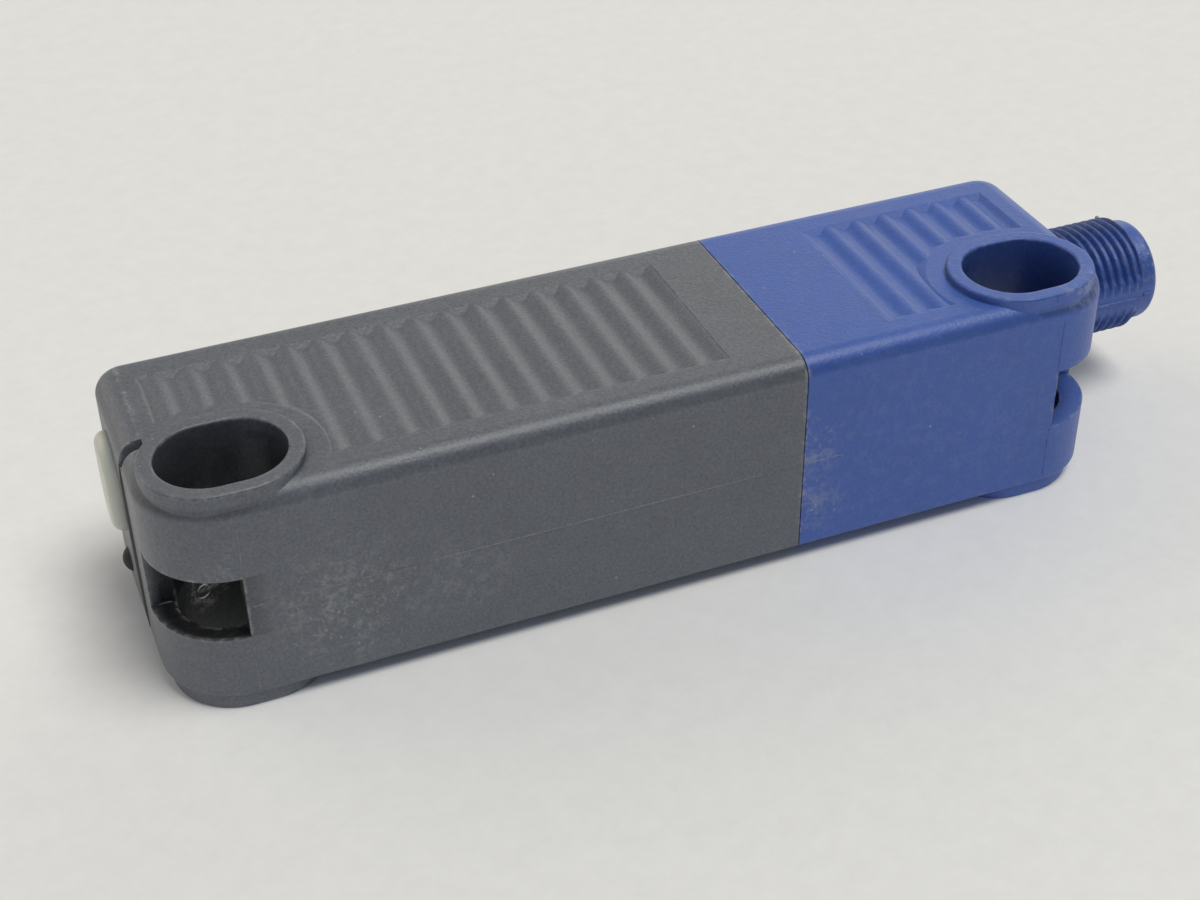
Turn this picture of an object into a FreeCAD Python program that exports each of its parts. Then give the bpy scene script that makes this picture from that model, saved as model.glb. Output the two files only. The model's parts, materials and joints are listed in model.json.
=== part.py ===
import FreeCAD, Part
import math
import os

V = FreeCAD.Vector
os.makedirs("parts", exist_ok=True)

# Mounting slots: origin halfway between them, on the plane of the lower collars
slot_pitch = 78.0
slot_width = 9.2
slot_length = 11.4
collar_wall = 1.5
collar_setback = 0.3
collar_top_rise = 0.8
collar_foot_rise = 1.4
collar_edge = 0.25

# Outer body, both housings together
body_width = 25.6
body_height = 21.1
seam_x = 13.1
seam_reveal = 0.1
seam_reveal_depth = 0.7
left_end_extra = 0.4
left_ear_extra = 0.8
right_end_extra = 0.75
right_ear_extra = 0.4
top_edge_radius = 2.0
back_corner_extra = 0.8
foot_edge_radius = 0.5
parting_rise = 9.9
notch_height = 6.4
notch_behind_axis = 0.85

# Corrugated grip fields in the top
flute_pitch = 3.05
flute_depth = 0.4
flute_crest_drop = 0.04
field_runout = 0.9
collar_land = 1.9
field_front_margin = 3.6
field_back_margin = 3.85
sensor_field_left_margin = 4.15
sensor_field_right_margin = 6.15
connector_field_left_margin = 10.05
connector_field_right_margin = 3.95

# Walls and fits
side_wall = 1.8
floor_wall = 1.6
roof_wall = 1.6
end_wall = 2.0
boss_wall = 1.8
cavity_radius = 1.0
slide_gap = 0.1
tongue_length = 5.0
tongue_wall = 1.2
seal_width = 1.4
seal_depth = 0.6
seal_setback = 1.0
latch_width = 5.0
latch_height = 0.5
latch_length = 1.6
latch_setback = 0.5

# End cap, window and filler plug
cap_thickness = 2.2
cap_joint = 0.35
cap_clear = 1.05
cap_tongue = 2.0
cap_tongue_wall = 0.9
cap_relief_depth = 2.2
lens_height = 9.9
lens_width = 6.0
lens_rise = 1.12
lens_edge = 1.0
lens_end_flat = 0.12
lens_top_margin = 3.5
lens_back_margin = 3.75
lens_step = 0.9
lens_seal_width = 0.6
lens_seal_depth = 0.5
plug_head_radius = 1.2
plug_head_rise = 0.7
plug_stem_radius = 0.65
plug_height = 3.1
plug_back_margin = 6.2

# Connector spigot and its insert
spigot_length = 14.3
spigot_radius = 5.95
spigot_core_radius = 5.3
spigot_neck_length = 0.8
spigot_nose_length = 2.45
spigot_nose_edge = 0.8
spigot_flat = 5.65
bore_radius = 4.3
pin_radius = 0.4
pin_circle = 2.75
pin_count_ring = 7
pin_recess = 0.75
pin_exposed = 8.3
carrier_flange_length = 2.2
carrier_flange_lip = 1.0
carrier_pocket_lead = 0.5
carrier_fit = 0.05
carrier_ring_section = 0.5
carrier_ring_setback = 1.4
key_width = 1.1
key_height = 0.7
key_setback = 1.2
contact_board_gap = 2.0
contact_board_thickness = 1.0
contact_board_margin = 0.9
pin_tail = 0.8
pin_tip = 0.25
ribbon_width = 4.0
ribbon_thickness = 0.3
ribbon_pad = 3.5
ribbon_drop = 1.0

# Main board and what it carries
board_rise = 6.0
board_thickness = 1.6
board_front_gap = 0.25
board_right_reach = 15.0
board_end_gap = 1.5
board_tail_start = 2.0
board_tail_margin = 0.4
neck_front_gap = 0.6
rail_width = 2.4
rail_height = 1.2
rail_inset = 2.0
led_board_thickness = 1.0
led_board_gap = 0.3
led_size = 2.0
led_height = 0.7
led_spacing = 2.8
led_chamfer = 0.25
header_pin_lead = 0.4
header_edge_gap = 0.5
header_length = 2.6
header_height = 2.5
header_pin_radius = 0.25
header_pin_spacing = 1.27

# Packages on the main board, placed from the left end of the wide bay or from the joint
lead_length = 0.8
lead_width = 0.34
lead_height = 0.4
package_lift = 0.15
package_chamfer = 0.12
package_front_shift = 0.6
controller_place = 13.0
controller_size = 7.0
controller_height = 1.4
transceiver_place = 25.0
transceiver_length = 5.0
transceiver_width = 4.4
transceiver_height = 1.3
driver_setback = 4.0
driver_length = 4.9
driver_width = 3.9
driver_height = 1.6
driver_spread = 5.7
driver_row_gap = 0.32
crystal_place = 19.0
crystal_width = 2.0
crystal_length = 3.6
crystal_height = 1.2
crystal_front_gap = 1.6
can_edge = 0.25
capacitor_setback = 6.0
capacitor_base = 4.3
capacitor_base_height = 0.6
capacitor_radius = 2.0
capacitor_height = 5.4
capacitor_spread = 6.0
choke_place = 33.0
choke_size = 5.0
choke_height = 3.0
choke_corner = 0.8
choke_cup_radius = 1.9
choke_cup_depth = 0.5
small_part_place = 22.5
small_part_pitch = 2.6
small_part_length = 1.6
small_part_width = 0.8
small_part_height = 0.6
small_part_front_gap = 0.7

# Antenna that faces the plain long side
antenna_length = 30.0
antenna_centre_x = -12.5
antenna_depth = 4.3
bobbin_corner = 1.2
winding_corner = 3.0
bobbin_flange = 0.8
bobbin_gap = 0.15
winding_inset = 0.6
hub_length = 18.0
hub_height = 8.0
hub_wall = 0.8
core_lead = 0.5
ledge_depth = 2.2
ledge_thickness = 1.0
ledge_side = 1.5
terminal_radius = 0.35
terminal_spacing = 9.0
terminal_rise = 0.8

# Filling compound
fill_height = 3.2
fill_right_gap = 1.6

# Derived levels and planes
slot_radius = slot_width / 2
slot_half = (slot_length - slot_width) / 2
slot_x = slot_pitch / 2
collar_radius = slot_radius + collar_wall
slot_inset = collar_radius + collar_setback
left_ear_radius = slot_inset + left_ear_extra
right_ear_radius = slot_inset + right_ear_extra
back_radius = top_edge_radius + back_corner_extra
front_y = -slot_inset
back_y = front_y + body_width
left_x = -slot_x - slot_half - slot_inset - left_end_extra
right_x = slot_x + slot_half + slot_inset + right_end_extra
foot_z = collar_foot_rise
top_z = foot_z + body_height
collar_z = top_z + collar_top_rise
parting_z = foot_z + parting_rise
cavity_z0 = foot_z + floor_wall
cavity_z1 = top_z - flute_depth - roof_wall
cavity_y0 = front_y + side_wall
cavity_y1 = back_y - side_wall
channel_y0 = slot_radius + boss_wall
wide_x0 = -slot_x + slot_length / 2 + boss_wall
wide_x1 = slot_x - slot_length / 2 - boss_wall
cap_x = left_x + cap_thickness
cap_y = slot_radius + cap_clear
end_x = right_x - end_wall
tongue_x = seam_x - tongue_length
spigot_y = (channel_y0 + cavity_y1) / 2
spigot_x = right_x + spigot_length
carrier_flange_radius = bore_radius + carrier_flange_lip
carrier_x0 = end_x - carrier_flange_length
carrier_x1 = spigot_x - pin_recess - pin_exposed
contact_reach = pin_circle + pin_radius + contact_board_margin
contact_board_x1 = carrier_x0 - contact_board_gap
contact_board_x0 = contact_board_x1 - contact_board_thickness
pin_x0 = contact_board_x0 - pin_tail
pin_x1 = spigot_x - pin_recess
board_z0 = cavity_z0 + board_rise
board_z1 = board_z0 + board_thickness
board_y0 = cavity_y0 + slide_gap + tongue_wall + board_front_gap
antenna_y1 = cavity_y1 - bobbin_gap
antenna_y0 = antenna_y1 - antenna_depth
board_y1 = antenna_y0 - board_front_gap
board_x1 = seam_x + board_right_reach
board_yc = (board_y0 + board_y1) / 2
led_board_x0 = cap_x + cap_tongue
led_board_x1 = led_board_x0 + led_board_thickness


def block(x0, x1, y0, y1, z0, z1):
    return Part.makeBox(x1 - x0, y1 - y0, z1 - z0, V(x0, y0, z0))


def rod(axis, radius, start, length):
    """Cylinder from a start point along an axis."""
    return Part.makeCylinder(radius, length, V(*start), V(*axis))


def obround_outline(cx, cy, radius, half, z):
    """Level outline with straight sides along X and round ends."""
    a = V(cx - half, cy + radius, z)
    b = V(cx + half, cy + radius, z)
    c = V(cx + half, cy - radius, z)
    d = V(cx - half, cy - radius, z)
    edges = [
        Part.makeLine(a, b),
        Part.Arc(b, V(cx + half + radius, cy, z), c).toShape(),
        Part.makeLine(c, d),
        Part.Arc(d, V(cx - half - radius, cy, z), a).toShape(),
    ]
    return Part.Wire(edges)


def obround(cx, cy, radius, half, z0, z1):
    """Upright prism with straight sides along X and round ends."""
    return Part.Face(obround_outline(cx, cy, radius, half, z0)).extrude(V(0, 0, z1 - z0))


def duct(x0, x1, y0, y1, z0, z1, radius):
    """Block along X with its four long edges rounded."""
    solid = block(x0, x1, y0, y1, z0, z1)
    edges = [e for e in solid.Edges if abs(e.Vertexes[0].X - e.Vertexes[1].X) > 0.5 * (x1 - x0)]
    return solid.makeFillet(radius, edges)


def level_edges(solid, z):
    """Edges of a solid that lie on a level plane."""
    return [e for e in solid.Edges if all(abs(v.Z - z) < 1e-6 for v in e.Vertexes)]


def plan_outline(z):
    """Body outline in plan with two ears in front and two rounded corners behind."""
    k = math.sqrt(0.5)
    rl = left_ear_radius
    rr = right_ear_radius
    rb = back_radius
    p = [
        V(left_x + rl, front_y, z), V(right_x - rr, front_y, z),
        V(right_x, front_y + rr, z), V(right_x, back_y - rb, z),
        V(right_x - rb, back_y, z), V(left_x + rb, back_y, z),
        V(left_x, back_y - rb, z), V(left_x, front_y + rl, z),
    ]
    m = [
        V(right_x - rr + rr * k, front_y + rr - rr * k, z),
        V(right_x - rb + rb * k, back_y - rb + rb * k, z),
        V(left_x + rb - rb * k, back_y - rb + rb * k, z),
        V(left_x + rl - rl * k, front_y + rl - rl * k, z),
    ]
    edges = [
        Part.makeLine(p[0], p[1]), Part.Arc(p[1], m[0], p[2]).toShape(),
        Part.makeLine(p[2], p[3]), Part.Arc(p[3], m[1], p[4]).toShape(),
        Part.makeLine(p[4], p[5]), Part.Arc(p[5], m[2], p[6]).toShape(),
        Part.makeLine(p[6], p[7]), Part.Arc(p[7], m[3], p[0]).toShape(),
    ]
    return Part.Wire(edges)


def wave(crest_x, step, count, y0, y1):
    """Space above a run of flutes: joined arcs from one crest to the last, closed above the body."""
    middle = top_z - (flute_crest_drop + flute_depth) / 2
    swing = (flute_depth - flute_crest_drop) / 2
    quarter = step / 4
    x = crest_x - quarter
    edges = []
    for i in range(2 * count + 1):
        tip = middle + swing if i % 2 == 0 else middle - swing
        arc = Part.Arc(V(x, y0, middle), V(x + quarter, y0, tip), V(x + 2 * quarter, y0, middle))
        edges.append(arc.toShape())
        x += 2 * quarter
    lid = top_z + 1
    start = crest_x - quarter
    corners = [V(x, y0, middle), V(x, y0, lid), V(start, y0, lid), V(start, y0, middle)]
    edges += [Part.makeLine(corners[i], corners[i + 1]) for i in range(3)]
    return Part.Face(Part.Wire(edges)).extrude(V(0, y1 - y0, 0))


def grip_field(x0, x1, crest_x, step):
    """Corrugated recess that starts at a crest and runs out on slopes at its ends and round the collars."""
    y0 = front_y + field_front_margin
    y1 = back_y - field_back_margin
    low = top_z - 2 * flute_depth
    high = top_z + flute_depth
    corners = [
        V(x0, y0 - field_runout, high), V(x0, y0 + 2 * field_runout, low),
        V(x0, y1 - 2 * field_runout, low), V(x0, y1 + field_runout, high),
    ]
    field = Part.Face(Part.makePolygon(corners + corners[:1])).extrude(V(x1 - x0, 0, 0))
    land_radius = collar_radius + collar_land
    for side in (-1, 1):
        foot = obround_outline(side * slot_x, 0, land_radius + 2 * field_runout, slot_half, low)
        head = obround_outline(side * slot_x, 0, land_radius - field_runout, slot_half, high)
        field = field.cut(Part.makeLoft([foot, head], True, True))
    count = math.ceil((x1 - x0) / flute_pitch)
    return field.common(wave(crest_x, step, count, y0 - 2 * field_runout, y1 + 2 * field_runout))


def collar(side):
    """Ring round a slot, from below the body to above it, with softened rims."""
    ring = obround(side * slot_x, 0, collar_radius, slot_half, 0, collar_z)
    return ring.makeFillet(collar_edge, level_edges(ring, 0) + level_edges(ring, collar_z))


def envelope():
    """Outside of the closed body with collars, slots, notched ears and grip fields."""
    body = Part.Face(plan_outline(foot_z)).extrude(V(0, 0, body_height))
    body = body.makeFillet(top_edge_radius, level_edges(body, top_z))
    body = body.makeFillet(foot_edge_radius, level_edges(body, foot_z))
    sensor_crest = seam_x - sensor_field_right_margin
    body = body.cut(grip_field(left_x + sensor_field_left_margin, sensor_crest, sensor_crest, -flute_pitch))
    connector_crest = seam_x + connector_field_left_margin
    connector_end = right_x - connector_field_right_margin
    body = body.cut(grip_field(connector_crest, connector_end, connector_crest, flute_pitch))
    for side in (-1, 1):
        body = body.fuse(collar(side))
    for side in (-1, 1):
        body = body.cut(obround(side * slot_x, 0, slot_radius, slot_half, -1, collar_z + 1))
    rims = [e for e in level_edges(body, 0) + level_edges(body, collar_z)
            if all(abs(v.Y) < slot_radius + 1e-3 for v in e.Vertexes)]
    body = body.makeFillet(collar_edge, rims)
    low = parting_z - notch_height / 2
    high = parting_z + notch_height / 2
    body = body.cut(block(left_x - 1, left_x + left_ear_radius, front_y - 1, notch_behind_axis, low, high))
    body = body.cut(block(right_x - right_ear_radius, right_x + 1, front_y - 1, notch_behind_axis, low, high))
    return body.removeSplitter()


def channel(x0, x1):
    """Narrow bay behind the slot bosses."""
    return duct(x0, x1, channel_y0, cavity_y1, cavity_z0, cavity_z1, cavity_radius)


def wide_bay(x0, x1, gap=0.0, radius=cavity_radius):
    """Full-width bay between the slot bosses, drawn in by a gap all round."""
    return duct(x0, x1, cavity_y0 + gap, cavity_y1 - gap, cavity_z0 + gap, cavity_z1 - gap, radius)


def sensor_cavity():
    return channel(cap_x - 1, seam_x + 1).fuse(wide_bay(wide_x0, seam_x + 1)).removeSplitter()


def latch_lugs(grow):
    """Two wedge lugs on the long sides of the joint tongue, grown for their pockets."""
    x0 = tongue_x + latch_setback
    x1 = x0 + latch_length
    z0 = parting_z - latch_width / 2 - grow
    lugs = []
    for wall, out in ((cavity_y0 + slide_gap, -1), (cavity_y1 - slide_gap, 1)):
        tip = wall + out * (latch_height + slide_gap + grow)
        base = wall - out * 0.2
        points = [V(x0 - grow, base, z0), V(x1 + grow, base, z0), V(x1 + grow, tip, z0)]
        points += [V(x1 + grow - 0.4, tip, z0), V(x0 - grow, wall, z0)]
        face = Part.Face(Part.makePolygon(points + points[:1]))
        lugs.append(face.extrude(V(0, 0, latch_width + 2 * grow)))
    return lugs


def cap_region(gap):
    """Corner of the left end that the cap fills, with a gap beside the ear."""
    return block(left_x - 1, cap_x, cap_y - gap, back_y + 1, foot_z - 1, collar_z + 1)


def sensor_housing(body):
    """Dark shell with the left ear, open at the joint and behind the cap."""
    shell = body.common(block(left_x - 1, seam_x, front_y - 1, back_y + 1, -1, collar_z + 1))
    shell = shell.cut(cap_region(cap_joint))
    relief = block(left_x - 1, cap_x, cap_y - cap_clear - cap_joint, cap_y,
                   top_z - cap_relief_depth, top_z + 1)
    relief = relief.cut(obround(-slot_x, 0, collar_radius, slot_half, 0, collar_z))
    shell = shell.cut(relief)
    shell = shell.cut(sensor_cavity())
    for lug in latch_lugs(slide_gap):
        shell = shell.cut(lug)
    rail = block(wide_x0 + rail_inset, tongue_x - rail_inset, cavity_y0 - 0.5, board_y0 + rail_width / 2,
                 board_z0 - rail_height, board_z0)
    return shell.fuse(rail).removeSplitter()


def joint_tongue():
    """Hollow tongue that plugs into the sensor housing, with a seal groove and two lugs."""
    tongue = wide_bay(tongue_x, seam_x + 1, slide_gap, cavity_radius - slide_gap)
    groove_x = seam_x - seal_setback - seal_width
    band = wide_bay(groove_x, groove_x + seal_width, -1, cavity_radius)
    core = wide_bay(groove_x, groove_x + seal_width, slide_gap + seal_depth, cavity_radius - slide_gap)
    tongue = tongue.cut(band.cut(core))
    for lug in latch_lugs(0.0):
        tongue = tongue.fuse(lug)
    return tongue


def spigot():
    """Round plug body with a neck, flats along the parting plane and a plain rounded nose."""
    core = rod((1, 0, 0), spigot_core_radius, (end_x, spigot_y, parting_z), spigot_x - end_x)
    rim = [e for e in core.Edges if len(e.Vertexes) == 1 and abs(e.Vertexes[0].X - spigot_x) < 1e-6]
    core = core.makeFillet(spigot_nose_edge, rim)
    crest_x = right_x + spigot_neck_length
    crest_length = spigot_length - spigot_neck_length - spigot_nose_length
    crest = rod((1, 0, 0), spigot_radius, (crest_x, spigot_y, parting_z), crest_length)
    flats = block(crest_x - 1, spigot_x, spigot_y - spigot_flat, spigot_y + spigot_flat,
                  parting_z - 2 * spigot_radius, parting_z + 2 * spigot_radius)
    return core.fuse(crest.common(flats)).removeSplitter()


def connector_housing(body):
    """Blue shell with the right ear, the joint tongue and the plug spigot."""
    shell = body.common(block(seam_x, right_x + 1, front_y - 1, back_y + 1, -1, collar_z + 1))
    inner = wide_bay(seam_x - 1, seam_x + seam_reveal, -(side_wall - seam_reveal_depth), cavity_radius)
    outer = block(seam_x - 1, seam_x + seam_reveal, front_y - 1, back_y + 1, -1, collar_z + 1)
    shell = shell.cut(outer.cut(inner))
    shell = shell.fuse(joint_tongue()).fuse(spigot())
    inset = slide_gap + tongue_wall
    shell = shell.cut(wide_bay(tongue_x - 1, seam_x + tongue_wall, inset, cavity_radius))
    shell = shell.cut(wide_bay(seam_x + tongue_wall, wide_x1, 0.0, cavity_radius))
    shell = shell.cut(channel(wide_x1 - 1, end_x))
    bore = rod((1, 0, 0), bore_radius, (end_x - 1, spigot_y, parting_z), spigot_x - end_x + 2)
    pocket_x = carrier_x0 - carrier_pocket_lead
    pocket_radius = carrier_flange_radius + slide_gap
    pocket = rod((1, 0, 0), pocket_radius, (pocket_x, spigot_y, parting_z), end_x - pocket_x)
    return shell.cut(bore).cut(pocket).removeSplitter()


def lens_box(grow):
    """Limits of the window in Y and Z, drawn in or grown."""
    y1 = back_y - lens_back_margin
    z1 = top_z - lens_top_margin
    return y1 - lens_width - grow, y1 + grow, z1 - lens_height - grow, z1 + grow


def pill(x0, x1, grow):
    """Round-ended prism along X with the outline of the window, drawn in or grown."""
    return duct(x0, x1, *lens_box(grow), lens_width / 2 - lens_end_flat + grow)


def end_cap(body):
    """Plate that closes the left end beside the ear, with a plug-in frame."""
    plate = body.common(block(left_x - 1, cap_x, cap_y, back_y + 1, -1, collar_z + 1))
    outer = duct(cap_x - 0.5, led_board_x0, channel_y0 + slide_gap, cavity_y1 - slide_gap,
                 cavity_z0 + slide_gap, cavity_z1 - slide_gap, cavity_radius)
    edge = slide_gap + cap_tongue_wall
    inner = duct(cap_x, led_board_x0 + 1, channel_y0 + edge, cavity_y1 - edge,
                 cavity_z0 + edge, cavity_z1 - edge, cavity_radius)
    cap = plate.fuse(outer.cut(inner))
    cap = cap.cut(pill(left_x - 1, cap_x + 1, -lens_step))
    cap = cap.cut(pill(left_x - 1, left_x + lens_seal_depth, lens_seal_width - lens_step))
    stem = rod((1, 0, 0), plug_stem_radius, (left_x - 1, *plug_centre()), cap_thickness + 2)
    return cap.cut(stem).removeSplitter()


def plug_centre():
    return back_y - plug_back_margin, foot_z + plug_height


def indicator_lens():
    """Translucent button with rounded edges and a shank through the cap."""
    head = pill(left_x - lens_rise, left_x, 0.0)
    front = [e for e in head.Edges if all(abs(v.X - left_x + lens_rise) < 1e-6 for v in e.Vertexes)]
    head = head.makeFillet(lens_edge, front)
    shank = pill(left_x - 0.5, cap_x, -lens_step)
    return head.fuse(shank).removeSplitter()


def lens_seal():
    """Flat ring round the window shank, below the button."""
    ring = pill(left_x, left_x + lens_seal_depth, lens_seal_width - lens_step)
    return ring.cut(pill(left_x - 1, cap_x, -lens_step))


def filler_plug():
    """Domed stopper of the filling hole."""
    y, z = plug_centre()
    radius = (plug_head_radius ** 2 + plug_head_rise ** 2) / (2 * plug_head_rise)
    ball = Part.makeSphere(radius, V(left_x - plug_head_rise + radius, y, z))
    head = ball.common(block(left_x - 5, left_x, y - 5, y + 5, z - 5, z + 5))
    stem = rod((1, 0, 0), plug_stem_radius, (left_x - 0.1, y, z), cap_thickness + 0.1)
    return head.fuse(stem).removeSplitter()


def joint_seal():
    """Rubber band in the groove of the joint tongue."""
    x0 = seam_x - seal_setback - seal_width
    band = wide_bay(x0, x0 + seal_width)
    return band.cut(wide_bay(x0 - 1, x0 + seal_width + 1, slide_gap + seal_depth, cavity_radius - slide_gap))


def pin_places():
    """Pin positions: one in the middle and a ring round it."""
    places = [(spigot_y, parting_z)]
    for i in range(pin_count_ring):
        a = math.pi / 2 + math.pi / pin_count_ring + 2 * math.pi * i / pin_count_ring
        places.append((spigot_y + pin_circle * math.cos(a), parting_z + pin_circle * math.sin(a)))
    return places


def contact_pin(place):
    """Round pin with a bevelled tip."""
    y, z = place
    pin = rod((1, 0, 0), pin_radius, (pin_x0, y, z), pin_x1 - pin_x0)
    rim = [e for e in pin.Edges if len(e.Vertexes) == 1 and abs(e.Vertexes[0].X - pin_x1) < 1e-6]
    return pin.makeChamfer(pin_tip, rim)


def contact_carrier():
    """Insulating insert with a flange behind the end wall, a ring groove and a coding key."""
    shank = bore_radius - carrier_fit
    body = rod((1, 0, 0), shank, (carrier_x0, spigot_y, parting_z), carrier_x1 - carrier_x0)
    flange = rod((1, 0, 0), carrier_flange_radius, (carrier_x0, spigot_y, parting_z), carrier_flange_length)
    body = body.fuse(flange)
    key = block(carrier_x1 - 1, spigot_x - key_setback, spigot_y - key_width / 2, spigot_y + key_width / 2,
                parting_z + shank - key_height, parting_z + shank + 1)
    bounds = rod((1, 0, 0), shank, (carrier_x1 - 1, spigot_y, parting_z), spigot_x - carrier_x1 + 1)
    body = body.fuse(key.common(bounds))
    groove_x = right_x + carrier_ring_setback - carrier_ring_section
    groove = rod((1, 0, 0), bore_radius + 1, (groove_x, spigot_y, parting_z), 2 * carrier_ring_section)
    floor = rod((1, 0, 0), bore_radius - 2 * carrier_ring_section, (groove_x - 1, spigot_y, parting_z),
                2 * carrier_ring_section + 2)
    body = body.cut(groove.cut(floor))
    for y, z in pin_places():
        body = body.cut(rod((1, 0, 0), pin_radius, (carrier_x0 - 1, y, z), spigot_x - carrier_x0 + 2))
    return body.removeSplitter()


def carrier_ring():
    """Round-section seal between the insert and the bore."""
    return Part.makeTorus(bore_radius - carrier_ring_section, carrier_ring_section,
                          V(right_x + carrier_ring_setback, spigot_y, parting_z), V(1, 0, 0))


def contact_board():
    """Small upright board soldered to the pin tails."""
    board = duct(contact_board_x0, contact_board_x1, spigot_y - contact_reach, spigot_y + contact_reach,
                 parting_z - contact_reach, parting_z + contact_reach, cavity_radius)
    for y, z in pin_places():
        hole = rod((1, 0, 0), pin_radius, (contact_board_x0 - 1, y, z), contact_board_thickness + 2)
        board = board.cut(hole)
    return board


def ribbon_link():
    """Flat flexible link from the contact board down to the main board."""
    z_low = board_z1
    z_high = parting_z + contact_reach - ribbon_drop
    rise = z_high - z_low
    span = contact_board_x0 - board_x1
    lift = V(0, 0, ribbon_thickness)
    centre = [
        V(board_x1, 0, z_low), V(board_x1 + 0.25 * span, 0, z_low + 0.12 * rise),
        V(board_x1 + 0.5 * span, 0, z_low + 0.5 * rise),
        V(board_x1 + 0.75 * span, 0, z_low + 0.88 * rise), V(contact_board_x0, 0, z_high),
    ]
    lower = Part.BSplineCurve()
    lower.interpolate(Points=centre, InitialTangent=V(1, 0, 0), FinalTangent=V(1, 0, 0))
    upper = Part.BSplineCurve()
    upper.interpolate(Points=[p + lift for p in centre], InitialTangent=V(1, 0, 0), FinalTangent=V(1, 0, 0))
    pad = V(board_x1 - ribbon_pad, 0, z_low)
    edges = [
        Part.makeLine(pad, centre[0]), lower.toShape(), Part.makeLine(centre[-1], centre[-1] + lift),
        upper.toShape(), Part.makeLine(centre[0] + lift, pad + lift), Part.makeLine(pad + lift, pad),
    ]
    face = Part.Face(Part.Wire(Part.__sortEdges__(edges)))
    face.translate(V(0, spigot_y - ribbon_width / 2, 0))
    return face.extrude(V(0, ribbon_width, 0))


def main_board():
    """Long board with a neck that passes the left slot boss."""
    board = block(wide_x0 + board_end_gap, board_x1, board_y0, board_y1, board_z0, board_z1)
    neck = block(led_board_x1, wide_x0 + board_end_gap + 1, channel_y0 + neck_front_gap, board_y1,
                 board_z0, board_z1)
    tail_y1 = spigot_y + ribbon_width / 2 + board_tail_margin
    tail = block(seam_x + board_tail_start, board_x1, board_y0, tail_y1, board_z0, board_z1)
    board = board.fuse(neck).fuse(tail)
    for x, y in terminal_places():
        board = board.cut(rod((0, 0, 1), terminal_radius, (x, y, board_z0 - 1), board_thickness + 2))
    return board.removeSplitter()


def terminal_places():
    y = board_y1 - 1.0
    return [(antenna_centre_x + s * terminal_spacing / 2, y) for s in (-1, 1)]


def antenna_bobbin():
    """Flat coil former: two flanges, a hollow hub and a ledge under the board edge."""
    x0 = antenna_centre_x - antenna_length / 2
    x1 = antenna_centre_x + antenna_length / 2
    z0 = cavity_z0
    z1 = cavity_z1 - bobbin_gap
    zc = (z0 + z1) / 2
    front = block(x0, x1, antenna_y0, antenna_y0 + bobbin_flange, z0, z1)
    rear = block(x0, x1, antenna_y1 - bobbin_flange, antenna_y1, z0 + cavity_radius, z1 - cavity_radius)
    edge = [e for e in front.Edges if abs(e.Vertexes[0].Y - e.Vertexes[1].Y) > 0.1]
    front = front.makeFillet(bobbin_corner, edge)
    edge = [e for e in rear.Edges if abs(e.Vertexes[0].Y - e.Vertexes[1].Y) > 0.1]
    rear = rear.makeFillet(bobbin_corner, edge)
    hub = hub_block(zc, hub_wall, antenna_y0 + 0.1, antenna_y1 - 0.1)
    reach = hub_length / 2 + hub_wall + ledge_side
    ledge = block(antenna_centre_x - reach, antenna_centre_x + reach,
                  antenna_y0 - ledge_depth, antenna_y0 + 0.2, board_z0 - ledge_thickness, board_z0)
    body = front.fuse(rear).fuse(hub).fuse(ledge)
    body = body.cut(hub_block(zc, 0.0, antenna_y0, antenna_y1 + 1))
    for x, y in terminal_places():
        hole = rod((0, 0, 1), terminal_radius, (x, y, board_z0 - ledge_thickness - 1), ledge_thickness + 2)
        body = body.cut(hole)
    return body.removeSplitter()


def hub_block(zc, grow, y0, y1):
    """Rectangular hub section, grown by a wall."""
    half_x = hub_length / 2 + grow
    half_z = hub_height / 2 + grow
    return block(antenna_centre_x - half_x, antenna_centre_x + half_x, y0, y1, zc - half_z, zc + half_z)


def antenna_centre_z():
    return (cavity_z0 + cavity_z1 - bobbin_gap) / 2


def antenna_winding():
    """Copper coil between the flanges of the former."""
    y0 = antenna_y0 + bobbin_flange
    y1 = antenna_y1 - bobbin_flange
    zc = antenna_centre_z()
    half_x = antenna_length / 2 - winding_inset
    half_z = (cavity_z1 - bobbin_gap - cavity_z0) / 2 - cavity_radius - winding_inset
    coil = block(antenna_centre_x - half_x, antenna_centre_x + half_x, y0, y1, zc - half_z, zc + half_z)
    edge = [e for e in coil.Edges if abs(e.Vertexes[0].Y - e.Vertexes[1].Y) > 0.1]
    coil = coil.makeFillet(winding_corner, edge)
    return coil.cut(hub_block(zc, hub_wall, y0 - 1, y1 + 1))


def antenna_core():
    """Ferrite block in the hub."""
    return hub_block(antenna_centre_z(), 0.0, antenna_y0 + core_lead, antenna_y1)


def antenna_terminals():
    """Two posts from the former up through the board."""
    z0 = board_z0 - ledge_thickness
    length = board_z1 + terminal_rise - z0
    return [rod((0, 0, 1), terminal_radius, (x, y, z0), length) for x, y in terminal_places()]


def led_board():
    """Upright board behind the window, resting on the cap frame."""
    board = block(led_board_x0, led_board_x1, channel_y0 + led_board_gap, cavity_y1 - led_board_gap,
                  cavity_z0 + led_board_gap, cavity_z1 - led_board_gap)
    for y in header_pins():
        board = board.cut(rod((1, 0, 0), header_pin_radius, (led_board_x0 - 1, y, header_pin_z()),
                              led_board_thickness + 2))
    return board


def led_centre():
    y0, y1, z0, z1 = lens_box(0.0)
    return (y0 + y1) / 2, (z0 + z1) / 2


def status_leds():
    """Three lamps in a column behind the window."""
    y, zc = led_centre()
    lamps = []
    for i in (-1, 0, 1):
        z = zc + i * led_spacing
        h = led_size / 2
        base = block(led_board_x0 - led_height, led_board_x0, y - h, y + h, z - h, z + h)
        rim = [e for e in base.Edges if all(abs(v.X - led_board_x0 + led_height) < 1e-6 for v in e.Vertexes)]
        lamps.append(base.makeChamfer(led_chamfer, rim))
    return lamps


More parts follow.
